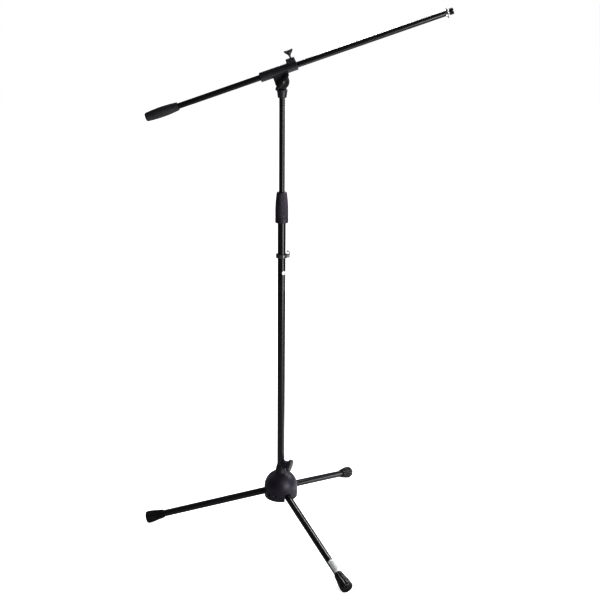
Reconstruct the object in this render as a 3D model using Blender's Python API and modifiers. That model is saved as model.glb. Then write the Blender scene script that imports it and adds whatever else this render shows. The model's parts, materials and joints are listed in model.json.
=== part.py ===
"""Boom microphone stand: folding tripod, telescopic mast and a tilting, sliding boom.

Millimetres in the dimensions below, metres in the scene, +Z up.
The mast axis is the natural centre of the design; the whole stand is then shifted so
that the floor point under the middle of its bounding box is the origin.
"""
from math import asin, cos, degrees, pi, radians, sin, tan

import bmesh
import bpy
from mathutils import Vector

MM = 0.001
GAP = 0.3                      # clearance kept between pieces that touch
ROUND = 24                     # sides of the larger turned pieces
SMALL = 16                     # sides of pins, screws and slim tubes
HUB_SIDES = 28                 # sides of the hub
MERGE = 0.00001                # metres

# Where the mast axis stands when the bounding box is centred on the origin
MAST_X, MAST_Y = -18.9, 11.9

# Tripod
LEG_AZIMUTH = {"left": 176.2, "front": 296.2, "rear": 56.2}     # degrees from +X
LEG_TILT = 16.0                # degrees below horizontal
LEG_APEX_Z = 122.5             # where the leg axes meet the mast axis
PIN_RADIUS = 30.0              # pin distance from the mast axis
PIN_Z = LEG_APEX_Z - PIN_RADIUS * tan(radians(LEG_TILT))
PIN_R, PIN_HALF = 2.9, 15.6
LEG_R, LEG_WALL = 9.0, 1.2
LEG_TUBE_START, LEG_TUBE_END = 10.0, 352.0      # distances from the pin along the leg
FOOT_START, FOOT_END = 313.0, 363.0
LEVER_LENGTH, LEVER_HALF = 22.0, 3.0
EYE_R, EYE_WIDTH = 8.0, 10.0
LABEL_START, LABEL_END = 270.0, 311.5

# Hub
HUB_R, HUB_CENTRE_Z, HUB_BOTTOM_Z = 45.5, 126.0, 95.5
COLLAR_TOP_Z, COLLAR_TOP_R, COLLAR_FOOT_R = 189.5, 11.4, 15.6
HUB_CAVITY_R, HUB_CAVITY_TOP_Z = 15.0, 158.0
COVER_R, COVER_THICKNESS = 38.0, 2.6
COVER_Z = 98.2
SLOT_R = LEG_R + 0.7
POCKET_DISTANCE, POCKET_R, POST_R, POCKET_TOP_Z = 29.0, 12.4, 4.2, 138.0
LOCK_AZIMUTH, LOCK_Z = -35.0, 194.5
LOCK_BOSS_R, LOCK_BOSS_END = 10.0, 22.5
LOCK_KNOB_START, LOCK_KNOB_END = 24.0, 35.0
LOCK_KNOB_WAIST, LOCK_KNOB_REACH = 7.6, 9.2
LOCK_KNOB_ANGLE = 144.0        # wings, turned from straight down about the screw
LOCK_SCREW_R = 3.0

# Mast
LOWER_R, LOWER_WALL = 10.0, 1.5
LOWER_BOTTOM_Z, LOWER_TOP_Z = 126.8, 905.3
FLANGE_R, FLANGE_BOTTOM_Z = 14.0, 123.5
CLUTCH_BOTTOM_Z, CLUTCH_SPLIT_Z, CLUTCH_TOP_Z = 872.3, 885.0, 951.6
CLIP_BOTTOM_Z, CLIP_TOP_Z, CLIP_R = 781.0, 788.8, 14.7
UPPER_R, UPPER_WALL = 7.0, 1.2
UPPER_BOTTOM_Z, UPPER_TOP_Z = 414.0, 1199.2
BUSH_BOTTOM_Z, BUSH_TOP_Z = 420.0, 446.0

# Head
PIVOT_Z = 1228.2
SOCKET_BOTTOM_Z, SOCKET_TOP_Z, SOCKET_R = 1189.0, 1209.9, 13.0
TONGUE_R, TONGUE_HALF = 13.2, 4.0
EAR_R, EAR_INNER, EAR_OUTER = 17.8, 5.6, 9.9
BOLT_R, BOLT_END = 3.0, 18.6      # the end in front of the pivot
WING_NUT_ANGLE = 52.0
WING_NUT_HUB_R, WING_NUT_REACH = 7.8, 18.4

# Boom, measured along its axis from the foot of the perpendicular dropped from the pivot
BOOM_TILT = 19.17
BOOM_OFFSET = 26.5             # pivot to boom axis
SLEEVE_START, SLEEVE_END, SLEEVE_R = -48.5, 48.0, 11.75
LINER_R = 9.0
BLOCK_START, BLOCK_END, BLOCK_HEIGHT, BLOCK_HALF = 24.8, 47.5, 21.2, 8.0
CLAMP_SCREW_AT, CLAMP_SCREW_R = 38.0, 2.5
CLAMP_WING_BOTTOM, CLAMP_WING_TOP = 28.0, 41.3     # above the boom axis
BOOM_R, BOOM_WALL = 7.0, 1.2
BOOM_START, BOOM_END = -288.5, 429.5
STUD_R, STUD_END = 4.75, 447.5     # 3/8 inch stud
ADAPTER_R = 7.94               # 5/8 inch thread adapter
ADAPTER_START, ADAPTER_END = 440.1, 449.7
RING_START, RING_END, RING_R = 434.0, 436.4, 13.0
WEIGHT_START, WEIGHT_END, WEIGHT_CORE_R = -350.9, -265.0, 9.0


# ---------------------------------------------------------------- scene helpers

def clear_scene():
    for obj in list(bpy.data.objects):
        bpy.data.objects.remove(obj, do_unlink=True)


def collection(name):
    made = bpy.data.collections.new(name)
    bpy.context.scene.collection.children.link(made)
    return made


def material(name, colour, roughness, metallic=0.0):
    made = bpy.data.materials.new(name)
    made.use_nodes = True
    shader = made.node_tree.nodes["Principled BSDF"]
    shader.inputs["Base Color"].default_value = (*colour, 1.0)
    shader.inputs["Roughness"].default_value = roughness
    shader.inputs["Metallic"].default_value = metallic
    return made


def frame(name, parent=None, location=(0, 0, 0), rotation=(0, 0, 0)):
    """An empty that carries a group of pieces."""
    empty = bpy.data.objects.new(name, None)
    empty.empty_display_size = 0.02
    PARTS.objects.link(empty)
    place(empty, parent, location, rotation)
    return empty


def place(obj, parent, location=(0, 0, 0), rotation=(0, 0, 0)):
    """Location in millimetres and rotation in degrees, in the parent's frame."""
    obj.parent = parent
    obj.location = Vector(location) * MM
    obj.rotation_euler = [radians(angle) for angle in rotation]
    return obj


def mesh_object(name, mesh, mat):
    obj = bpy.data.objects.new(name, mesh)
    if mat:
        mesh.materials.append(mat)
        PARTS.objects.link(obj)
    else:
        CUTTERS.objects.link(obj)
        obj.hide_render = True
        obj.display_type = "WIRE"
    return obj


def arc(centre, radius, start, end, count):
    """Points on a circle, angles in degrees, both ends included."""
    angles = [radians(start + (end - start) * i / (count - 1)) for i in range(count)]
    return [(centre[0] + radius * cos(a), centre[1] + radius * sin(a)) for a in angles]


# ---------------------------------------------------------------- shape helpers

def turned(name, profile, mat, closed=True, steps=ROUND):
    """A profile of (radius, height) points in millimetres, spun about Z."""
    mesh = bpy.data.meshes.new(name)
    bm = bmesh.new()
    verts = [bm.verts.new((r * MM, 0, z * MM)) for r, z in profile]
    for first, second in zip(verts, verts[1:]):
        bm.edges.new((first, second))
    if closed:
        bm.edges.new((verts[-1], verts[0]))
    bm.to_mesh(mesh)
    bm.free()
    obj = mesh_object(name, mesh, mat)
    screw = obj.modifiers.new("turn", "SCREW")
    screw.steps = steps
    screw.render_steps = steps
    screw.use_merge_vertices = True
    screw.merge_threshold = MERGE
    screw.use_smooth_shade = True
    return obj


def ring(name, outer, inner, bottom, top, mat, steps=ROUND):
    profile = [(outer, top), (outer, bottom), (inner, bottom), (inner, top)]
    return turned(name, profile, mat, steps=steps)


def rod(name, radius, bottom, top, mat, steps=SMALL):
    profile = [(0, top), (radius, top), (radius, bottom), (0, bottom)]
    return turned(name, profile, mat, closed=False, steps=steps)


def plate(name, outline, thickness, mat, holes=()):
    """A flat outline of (x, y) points, thickened about its own plane."""
    curve = bpy.data.curves.new(name, "CURVE")
    curve.dimensions = "2D"
    curve.fill_mode = "BOTH"
    curve.extrude = thickness * MM / 2
    for points in (outline, *holes):
        spline = curve.splines.new("POLY")
        spline.points.add(len(points) - 1)
        for point, (x, y) in zip(spline.points, points):
            point.co = (x * MM, y * MM, 0, 1)
        spline.use_cyclic_u = True
    source = bpy.data.objects.new(name + "_outline", curve)
    bpy.context.scene.collection.objects.link(source)
    graph = bpy.context.evaluated_depsgraph_get()
    mesh = bpy.data.meshes.new_from_object(source.evaluated_get(graph))
    bm = bmesh.new()
    bm.from_mesh(mesh)
    bmesh.ops.remove_doubles(bm, verts=bm.verts, dist=MERGE)
    bmesh.ops.recalc_face_normals(bm, faces=bm.faces)
    bm.to_mesh(mesh)
    bm.free()
    bpy.data.objects.remove(source, do_unlink=True)
    return mesh_object(name, mesh, mat)


def box(name, low, high, mat=None):
    """An upright box between two corners."""
    mesh = bpy.data.meshes.new(name)
    bm = bmesh.new()
    bmesh.ops.create_cube(bm, size=1.0)
    size = [(b - a) * MM for a, b in zip(low, high)]
    middle = [(a + b) * MM / 2 for a, b in zip(low, high)]
    bmesh.ops.scale(bm, vec=size, verts=bm.verts)
    bmesh.ops.translate(bm, vec=middle, verts=bm.verts)
    bm.to_mesh(mesh)
    bm.free()
    return mesh_object(name, mesh, mat)


def combine(obj, other, operation):
    boolean = obj.modifiers.new(other.name, "BOOLEAN")
    boolean.operation = operation
    boolean.solver = "EXACT"
    boolean.object = other


def cut(obj, *cutters):
    for cutter in cutters:
        combine(obj, cutter, "DIFFERENCE")


def join(obj, *others):
    for other in others:
        combine(obj, other, "UNION")


# ---------------------------------------------------------------- tripod

def hub_dome(stand, leg_frames, mat):
    """The dome casting: collar, guide bore, leg slots and screw posts in one piece."""
    bore = LOWER_R + GAP
    arc_start = 90 - degrees(asin(COLLAR_FOOT_R / HUB_R))
    dome = arc((0, HUB_CENTRE_Z), HUB_R, arc_start, 0, 9)
    rim = 5.0
    lower_edge = arc((HUB_R - rim, HUB_BOTTOM_Z + rim), rim, 0, -80, 4)
    cover_seat_z = COVER_Z + COVER_THICKNESS + GAP
    profile = [(0, COLLAR_TOP_Z), (COLLAR_TOP_R, COLLAR_TOP_Z), (13.0, 181.5), (14.6, 174.5)]
    profile += dome + lower_edge + [(0, HUB_BOTTOM_Z)]
    hub = turned("hub_dome", profile, mat, closed=False, steps=HUB_SIDES)
    place(hub, stand)

    boss = rod("lock_boss_shape", LOCK_BOSS_R, 5, LOCK_BOSS_END, None, steps=ROUND)
    place(boss, stand, (0, 0, LOCK_Z), (0, 90, LOCK_AZIMUTH))
    join(hub, boss)
    inside = [
        (0, COLLAR_TOP_Z + 20), (bore, COLLAR_TOP_Z + 20), (bore, HUB_CAVITY_TOP_Z),
        (HUB_CAVITY_R, HUB_CAVITY_TOP_Z), (HUB_CAVITY_R, cover_seat_z),
        (COVER_R + GAP, cover_seat_z), (COVER_R + GAP, HUB_BOTTOM_Z - 5), (0, HUB_BOTTOM_Z - 5),
    ]
    cavity = turned("hub_cavity_cutter", inside, None, closed=False, steps=HUB_SIDES)
    place(cavity, stand)
    screw_hole = rod("lock_hole_cutter", LOCK_SCREW_R + GAP, 5, LOCK_BOSS_END + 5, None)
    place(screw_hole, stand, (0, 0, LOCK_Z), (0, 90, LOCK_AZIMUTH))
    cut(hub, cavity, screw_hole)

    for side, leg in leg_frames.items():
        # Round-topped slot that the leg folds down through, along the leg's own axis
        outline = [(60, -SLOT_R)] + arc((0, 0), SLOT_R, -90, -270, 9) + [(60, SLOT_R)]
        slot = plate(f"slot_cutter_{side}", outline, 46, None)
        place(slot, leg, (6, 0, 0), (0, 90, 0))
        upright = frame(f"upright_{side}", stand, (0, 0, 0), (0, 0, LEG_AZIMUTH[side]))
        half = EYE_WIDTH / 2 + 0.4
        lever_top = PIN_Z + LEVER_LENGTH + 2.5
        lever_end = PIN_RADIUS + LEVER_HALF + 0.6
        lever = box(f"lever_cutter_{side}", (6, -half, PIN_Z - 4), (lever_end, half, lever_top))
        place(lever, upright)
        seat = PIN_R + GAP
        mouth = seat - 0.2
        low = (PIN_RADIUS - mouth, -PIN_HALF - GAP - 0.1, HUB_BOTTOM_Z - 5)
        high = (PIN_RADIUS + mouth, PIN_HALF + GAP + 0.1, PIN_Z)
        groove = box(f"pin_groove_cutter_{side}", low, high)
        place(groove, upright)
        seat_top = rod(f"pin_seat_cutter_{side}", seat, -PIN_HALF - GAP, PIN_HALF + GAP, None)
        place(seat_top, leg, rotation=(90, 0, 0))
        pocket = ring(
            f"pocket_cutter_{side}", POCKET_R, POST_R, HUB_BOTTOM_Z - 5, POCKET_TOP_Z, None, SMALL
        )
        pilot = rod(f"post_hole_cutter_{side}", 1.8, HUB_BOTTOM_Z - 5, 109.0, None, 12)
        between = frame(f"between_{side}", stand, rotation=(0, 0, LEG_AZIMUTH[side] + 60))
        place(pocket, between, (POCKET_DISTANCE, 0, 0))
        place(pilot, between, (POCKET_DISTANCE, 0, 0))
        cut(hub, slot, lever, groove, seat_top, pocket, pilot)
    return hub


def hub_bottom_cover(stand, mat):
    """Slotted plate under the hub, with posts that hold the leg pins up in their seats."""
    cover = rod("hub_bottom_cover", COVER_R, COVER_Z, COVER_Z + COVER_THICKNESS, mat, ROUND)
    place(cover, stand)
    for side, azimuth in LEG_AZIMUTH.items():
        upright = frame(f"cover_upright_{side}", stand, rotation=(0, 0, azimuth))
        slot_bottom, slot_top = COVER_Z - 5, COVER_Z + COVER_THICKNESS + 5
        slot = box(
            f"cover_slot_cutter_{side}", (19, -SLOT_R, slot_bottom), (60, SLOT_R, slot_top)
        )
        place(slot, upright)
        cut(cover, slot)
        for sign in (-1, 1):
            near, far = sorted((sign * (SLOT_R + 0.6), sign * PIN_HALF))
            low = (PIN_RADIUS - 2.5, near, COVER_Z + 1)
            high = (PIN_RADIUS + 2.5, far, PIN_Z - PIN_R - GAP)
            post = box(f"cover_post_{side}_{sign}", low, high)
            place(post, upright)
            join(cover, post)
        between = frame(f"cover_between_{side}", stand, rotation=(0, 0, azimuth + 60))
        hole = rod(f"cover_hole_cutter_{side}", 1.8, slot_bottom, slot_top, None, 12)
        place(hole, between, (POCKET_DISTANCE, 0, 0))
        cut(cover, hole)
    return cover


def cover_screw(number, stand, azimuth, mat):
    head_bottom = COVER_Z - GAP - 2.2
    head_top = COVER_Z - GAP
    profile = [(0, 107), (1.5, 107), (1.5, head_top), (3.4, head_top), (3.1, head_bottom)]
    profile += [(1.2, head_bottom), (1.0, head_bottom + 0.9), (0, head_bottom + 0.9)]
    screw = turned(f"cover_screw_{number}", profile, mat, closed=False, steps=12)
    between = frame(f"screw_frame_{number}", stand, rotation=(0, 0, azimuth + 60))
    place(screw, between, (POCKET_DISTANCE, 0, 0))


def leg_frame(side, stand):
    """Frame on the leg's hinge pin: X runs out along the leg, Y along the pin."""
    azimuth = LEG_AZIMUTH[side]
    turn = radians(azimuth)
    location = (PIN_RADIUS * cos(turn), PIN_RADIUS * sin(turn), PIN_Z)
    return frame(f"leg_hinge_{side}", stand, location, (0, LEG_TILT, azimuth))


def leg_knuckle(side, leg, mat):
    """Eye on the pin, lever towards the mast and round plug inside the leg tube."""
    plug_r = LEG_R - LEG_WALL - GAP
    lever_meets = degrees(asin(LEVER_HALF / EYE_R))
    neck = 7.0
    neck_meets = degrees(asin(neck / EYE_R))
    outline = arc((-LEVER_LENGTH + LEVER_HALF, 0), LEVER_HALF, 90, 270, 6)
    outline += arc((0, 0), EYE_R, 180 + lever_meets, 360 - neck_meets, 7)
    outline += [(LEG_TUBE_START - 0.6, -neck), (LEG_TUBE_START - 0.6, neck)]
    outline += arc((0, 0), EYE_R, neck_meets, 180 - lever_meets, 7)
    hole = arc((0, 0), PIN_R + GAP, 0, 337.5, 16)
    knuckle = plate(f"leg_knuckle_{side}", outline, EYE_WIDTH, mat, [hole])
    place(knuckle, leg, rotation=(90, 0, 0))
    plug = rod(f"knuckle_plug_{side}", plug_r, LEG_TUBE_START - 4, 36, None)
    place(plug, leg, rotation=(0, 90, 0))
    join(knuckle, plug)


def leg_tube(side, leg, mat):
    tube = ring(
        f"leg_tube_{side}", LEG_R, LEG_R - LEG_WALL, LEG_TUBE_START, LEG_TUBE_END, mat, ROUND
    )
    place(tube, leg, rotation=(0, 90, 0))


def leg_foot(side, leg, stand, mat):
    """Flared rubber boot over the leg's end, flat where it stands on the floor."""
    socket = LEG_R + GAP
    profile = [
        (0, FOOT_END - 1.2), (8.0, FOOT_END - 1.2), (9.0, FOOT_END), (13.4, FOOT_END),
        (15.6, FOOT_END - 1.6), (16.7, FOOT_END - 5), (16.6, FOOT_END - 10),
        (15.9, FOOT_END - 18), (14.8, FOOT_END - 26), (13.4, FOOT_END - 34),
        (11.9, FOOT_START + 3.2), (11.2, FOOT_START),
        (socket, FOOT_START), (socket, LEG_TUBE_END + GAP), (0, LEG_TUBE_END + GAP),
    ]
    foot = turned(f"leg_foot_{side}", profile, mat, closed=False)
    place(foot, leg, rotation=(0, 90, 0))
    floor = box(f"floor_cutter_{side}", (-450, -450, -40), (450, 450, 0))
    place(floor, stand)
    cut(foot, floor)


def leg_label(leg, mat):
    label = ring("leg_label", LEG_R + GAP + 0.25, LEG_R + GAP, LABEL_START, LABEL_END, mat, ROUND)
    place(label, leg, rotation=(0, 90, 0))


def leg_pin(side, leg, mat):
    pin = rod(f"leg_pin_{side}", PIN_R, -PIN_HALF, PIN_HALF, mat, 16)
    place(pin, leg, rotation=(90, 0, 0))


def lock_knob(stand, plastic, steel):
    """Two-winged knob and the screw moulded into it."""
    knob_frame = frame("lock_axis", stand, (0, 0, LOCK_Z), (0, 90, LOCK_AZIMUTH))
    middle = (LOCK_KNOB_START + LOCK_KNOB_END) / 2
    thickness = LOCK_KNOB_END - LOCK_KNOB_START
    knob = wing_shape("lock_knob", plastic, LOCK_KNOB_WAIST, LOCK_KNOB_REACH, 2, thickness)
    place(knob, knob_frame, (0, 0, middle), (0, 0, LOCK_KNOB_ANGLE))
    bevel = knob.modifiers.new("rounding", "BEVEL")
    bevel.width = 3.2 * MM
    bevel.segments = 2
    bevel.limit_method = "ANGLE"
    bevel.angle_limit = radians(50)
    screw_end = LOCK_KNOB_END - 4
    hole = rod(
        "knob_hole_cutter", LOCK_SCREW_R + GAP, LOCK_KNOB_START - 5, screw_end + GAP, None
    )
    place(hole, knob_frame)
    cut(knob, hole)
    screw = rod("lock_screw", LOCK_SCREW_R, LOWER_R + GAP, screw_end, steel)
    place(screw, knob_frame)


# ---------------------------------------------------------------- mast

def lower_mast(stand, steel, plastic):
    inner = LOWER_R - LOWER_WALL
    place(ring("lower_tube", LOWER_R, inner, LOWER_BOTTOM_Z, LOWER_TOP_Z, steel), stand)
    flange_top = LOWER_BOTTOM_Z - GAP
    spigot = inner - GAP
    profile = [
        (0, flange_top + 20), (spigot, flange_top + 20), (spigot, flange_top),
        (FLANGE_R, flange_top), (FLANGE_R, FLANGE_BOTTOM_Z), (0, FLANGE_BOTTOM_Z),
    ]
    place(turned("tube_plug", profile, plastic, closed=False), stand)


def clutch(stand, plastic, inner_plastic):
    """Height clutch: fixed base ring and collet, and the grip that twists on them."""
    fit = LOWER_R + GAP
    bore = UPPER_R + GAP + 0.1
    base = [
        (fit, CLUTCH_SPLIT_Z - GAP), (16.5, CLUTCH_SPLIT_Z - GAP), (16.6, CLUTCH_BOTTOM_Z + 2),
        (15.8, CLUTCH_BOTTOM_Z), (fit, CLUTCH_BOTTOM_Z),
    ]
    place(turned("clutch_base_ring", base, plastic), stand)
    seat = LOWER_TOP_Z + GAP
    collet = [
        (bore, 946.5), (9.2, 946.5), (9.2, 940), (12.6, 918), (12.6, CLUTCH_SPLIT_Z),
        (fit, CLUTCH_SPLIT_Z), (fit, seat), (bore, seat),
    ]
    place(turned("clutch_collet", collet, inner_plastic), stand)
    bottom = CLUTCH_SPLIT_Z + GAP
    grip = [
        (bore, CLUTCH_TOP_Z), (12.2, CLUTCH_TOP_Z), (13.0, 950.6), (13.9, 942), (15.2, 930),
        (16.0, 918), (16.4, 905), (16.4, 886), (16.1, bottom), (12.9, bottom),
        (12.9, 918.2), (9.5, 940.3), (9.5, 947), (bore, 947),
    ]
    place(turned("clutch_grip", grip, plastic), stand)


def cable_clip(stand, mat):
    """Ring round the lower tube with a springy hook that holds the cable."""
    clip = ring("cable_clip", CLIP_R, LOWER_R + 0.4, CLIP_BOTTOM_Z, CLIP_TOP_Z, mat)
    place(clip, stand)
    outer = arc((15.8, 791.6), 5.9, 0, 90, 5)
    inner = arc((15.8, 791.6), 3.6, 90, 0, 5)
    hook = [(12.6, CLIP_BOTTOM_Z + 0.4), (19.4, CLIP_BOTTOM_Z + 0.4), (21.7, 779.6)]
    hook += outer + [(13.0, 797.9), (12.6, 796.5), (13.0, 795.2)]
    hook += inner + [(19.4, CLIP_TOP_Z + 0.1), (12.6, CLIP_TOP_Z + 0.1)]
    shape = plate("clip_hook_shape", hook, 9, None)
    place(shape, stand, rotation=(90, 0, 0))
    join(clip, shape)


def guide_bush(stand, mat):
    bush = ring(
        "guide_bush", LOWER_R - LOWER_WALL - GAP, UPPER_R + GAP, BUSH_BOTTOM_Z, BUSH_TOP_Z, mat
    )
    place(bush, stand)


# ---------------------------------------------------------------- head

def top_socket(pivot, mat):
    """Cup on the upper tube, with the tongue that the boom clamp pivots on."""
    drop = -PIVOT_Z
    bore = UPPER_R + GAP
    profile = [
        (0, SOCKET_TOP_Z + drop), (11.6, SOCKET_TOP_Z + drop), (12.6, SOCKET_TOP_Z - 0.8 + drop),
        (SOCKET_R, SOCKET_TOP_Z - 3.1 + drop), (12.6, SOCKET_TOP_Z - 5.9 + drop),
        (11.8, SOCKET_BOTTOM_Z + 10 + drop), (11.2, SOCKET_BOTTOM_Z + 4 + drop),
        (10.4, SOCKET_BOTTOM_Z + drop), (bore, SOCKET_BOTTOM_Z + drop),
        (bore, UPPER_TOP_Z + GAP + drop), (0, UPPER_TOP_Z + GAP + drop),
    ]
    socket = turned("top_socket", profile, mat, closed=False)
    place(socket, pivot)
    foot = SOCKET_TOP_Z - 2.5 + drop
    outline = [(-8.8, foot), (8.8, foot)] + arc((0, 0), TONGUE_R, -35, 215, 15)
    tongue = plate("tongue_shape", outline, 2 * TONGUE_HALF, None)
    place(tongue, pivot, rotation=(90, 0, 0))
    hole = rod("tongue_hole_cutter", BOLT_R + GAP, -20, 20, None)
    place(hole, pivot, rotation=(90, 0, 0))
    join(socket, tongue)
    cut(socket, hole)


def pivot_hardware(pivot, steel, nylon, plastic):
    """Bolt, two friction washers and the wing nut in front."""
    head = EAR_OUTER + GAP
    bolt = [
        (0, BOLT_END), (BOLT_R, BOLT_END), (BOLT_R, -head), (6.0, -head), (6.0, -head - 2.2),
        (4.6, -head - 3.4), (0, -head - 3.4),
    ]
    place(turned("pivot_bolt", bolt, steel, closed=False, steps=SMALL), pivot, rotation=(90, 0, 0))
    for name, sign in (("front", 1), ("back", -1)):
        inner, outer = TONGUE_HALF + GAP, EAR_INNER - GAP
        low, high = sorted((sign * inner, sign * outer))
        washer = ring(f"pivot_washer_{name}", 9.0, BOLT_R + GAP, low, high, nylon, SMALL)
        place(washer, pivot, rotation=(90, 0, 0))
    wing = wing_shape("pivot_wing_nut", plastic, 7.0, WING_NUT_REACH, 16, 5.4)
    place(wing, pivot, (0, -16.4, 0), (90, -WING_NUT_ANGLE, 0))
    cap = [
        (0, 21.8), (3.6, 21.4), (6.4, 20.2), (WING_NUT_HUB_R, 18.2), (WING_NUT_HUB_R, head),
        (0, head),
    ]
    hub = turned("wing_nut_hub", cap, None, closed=False)
    place(hub, pivot, rotation=(90, 0, 0))
    hole = rod("wing_nut_hole_cutter", BOLT_R + GAP, 5, BOLT_END + GAP, None)
    place(hole, pivot, rotation=(90, 0, 0))
    join(wing, hub)
    cut(wing, hole)


def wing_shape(name, mat, waist, reach, sharpness, thickness):
    """Two rounded wings in one plate; a higher sharpness makes them narrower."""
    count = 40
    outline = []
    for i in range(count):
        angle = 2 * pi * i / count
        radius = waist + reach * cos(angle) ** sharpness
        outline.append((radius * cos(angle), radius * sin(angle)))
    return plate(name, outline, thickness, mat)


def boom_clamp(boom, mat):
    """Sleeve, forked ears and screw block of the boom clamp."""
    chamfer = 1.0
    profile = [
        (0, SLEEVE_END), (SLEEVE_R - chamfer, SLEEVE_END), (SLEEVE_R, SLEEVE_END - chamfer),
        (SLEEVE_R, SLEEVE_START + chamfer), (SLEEVE_R - chamfer, SLEEVE_START), (0, SLEEVE_START),
    ]
    clamp = turned("boom_clamp", profile, mat, closed=False)
    place(clamp, boom, (0, 0, BOOM_OFFSET), (0, 90, 0))
    ear = arc((0, 0), EAR_R, 180, 360, 17)
    ear_top = BOOM_OFFSET - 1.3
    ear += [(EAR_R, 7), (18.8, 9.6), (20.8, 13), (23.3, 17), (23.3, ear_top)]
    ear += [(-EAR_R, ear_top)]
    hole = arc((0, 0), BOLT_R + GAP, 0, 337.5, 16)
    for name, sign in (("front", -1), ("back", 1)):
        cheek = plate(f"cheek_{name}", ear, EAR_OUTER - EAR_INNER, None, [hole])
        place(cheek, boom, (0, sign * (EAR_INNER + EAR_OUTER) / 2, 0), (90, 0, 0))
        join(clamp, cheek)
    top = BOOM_OFFSET + BLOCK_HEIGHT
    sides = [(BLOCK_START - 0.6, BOOM_OFFSET + 2), (BLOCK_END + 0.4, BOOM_OFFSET + 2)]
    sides += [(BLOCK_END - 0.8, top), (BLOCK_START, top)]
    block = plate("clamp_block", sides, 2 * BLOCK_HALF, None)
    place(block, boom, rotation=(90, 0, 0))
    join(clamp, block)
    bore = rod("clamp_bore_cutter", LINER_R + GAP, SLEEVE_START - 5, SLEEVE_END + 5, None, ROUND)
    place(bore, boom, (0, 0, BOOM_OFFSET), (0, 90, 0))
    screw_hole = rod("clamp_hole_cutter", CLAMP_SCREW_R + GAP, BOOM_OFFSET, top + 5, None)
    place(screw_hole, boom, (CLAMP_SCREW_AT, 0, 0))
    cut(clamp, bore, screw_hole)


def clamp_screw(boom, plastic, steel, brass):
    """Wing screw on top of the clamp, and the pad it presses on the liner."""
    pad_bottom = BOOM_OFFSET + LINER_R + 0.35
    place(rod("clamp_pad", CLAMP_SCREW_R, pad_bottom, pad_bottom + 2, brass, 16),
          boom, (CLAMP_SCREW_AT, 0, 0))
    wing_bottom = BOOM_OFFSET + CLAMP_WING_BOTTOM
    wing_top = BOOM_OFFSET + CLAMP_WING_TOP
    screw_top = wing_bottom + 7
    place(rod("clamp_screw", CLAMP_SCREW_R, pad_bottom + 2.3, screw_top, steel, 16),
          boom, (CLAMP_SCREW_AT, 0, 0))
    half = [
        (3.0, wing_bottom), (4.4, wing_bottom + 4.0), (7.8, wing_bottom + 8.5),
        (10.6, wing_top - 2.2), (11.1, wing_top - 0.9), (10.2, wing_top), (3.0, wing_top - 1.0),
    ]
    outline = half + [(-x, z) for x, z in reversed(half)]
    wing = plate("clamp_wing", outline, 4.6, plastic)
    place(wing, boom, (CLAMP_SCREW_AT, 0, 0), (90, 0, 0))
    hub = rod("clamp_wing_hub", 4.0, wing_bottom, screw_top + 2, None)
    place(hub, boom, (CLAMP_SCREW_AT, 0, 0))
    hole = rod("clamp_wing_hole_cutter", CLAMP_SCREW_R + GAP, wing_bottom - 5, screw_top + GAP, None)
    place(hole, boom, (CLAMP_SCREW_AT, 0, 0))
    join(wing, hub)
    cut(wing, hole)


# ---------------------------------------------------------------- boom

def boom_pieces(boom, steel, nylon, rubber, iron, zinc, black):
    """Everything that lies along the boom's axis."""
    axis = frame("boom_axis", boom, (0, 0, BOOM_OFFSET), (0, 90, 0))
    liner_start, liner_end = SLEEVE_START + 0.5, SLEEVE_END - 0.5
    place(ring("boom_liner", LINER_R, BOOM_R + GAP, liner_start, liner_end, nylon), axis)
    inner = BOOM_R - BOOM_WALL
    place(ring("boom_tube", BOOM_R, inner, BOOM_START, BOOM_END, steel), axis)

    shoulder = BOOM_END + GAP
    plug = [
        (0, STUD_END), (STUD_R, STUD_END), (STUD_R, RING_START - GAP), (8.6, RING_START - GAP),
        (7.3, shoulder), (inner - GAP, shoulder), (inner - GAP, BOOM_END - 28),
        (0, BOOM_END - 28),
    ]
    place(turned("boom_end_plug", plug, zinc, closed=False, steps=SMALL), axis)
    place(ring("lock_ring", RING_R, STUD_R + GAP, RING_START, RING_END, black), axis)
    adapter = ring("thread_adapter", ADAPTER_R, STUD_R + GAP, ADAPTER_START, ADAPTER_END, black)
    place(adapter, axis)
    slot = box("adapter_slot_cutter", (-1.1, -12, ADAPTER_END - 2.2), (1.1, 12, ADAPTER_END + 5))
    place(slot, axis)
    cut(adapter, slot)

    core_bore = BOOM_R + GAP
    core_top, core_bottom = WEIGHT_END - 0.8, WEIGHT_START + 6.4
    core = [
        (0, BOOM_START - GAP), (core_bore, BOOM_START - GAP), (core_bore, core_top),
        (WEIGHT_CORE_R, core_top), (WEIGHT_CORE_R, core_bottom), (0, core_bottom),
    ]
    place(turned("counterweight_core", core, iron, closed=False), axis)
    # The grip swells evenly towards its middle
    count = 8
    swell = []
    for i in range(count + 1):
        t = i / count
        radius = 10.05 + 0.9 * t + 2.15 * sin(pi * t) ** 0.9
        swell.append((radius, WEIGHT_END + (WEIGHT_START + 4.5 - WEIGHT_END) * t))
    fit = WEIGHT_CORE_R + GAP
    bottom = core_bottom - GAP
    grip = [(0, bottom), (fit, bottom), (fit, WEIGHT_END)] + swell
    grip += [(10.2, WEIGHT_START + 1.8), (7.8, WEIGHT_START), (0, WEIGHT_START)]
    place(turned("counterweight_grip", grip, rubber, closed=False), axis)


# ---------------------------------------------------------------- assembly

clear_scene()
PARTS = collection("boom_microphone_stand")
CUTTERS = collection("cutters")


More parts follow.
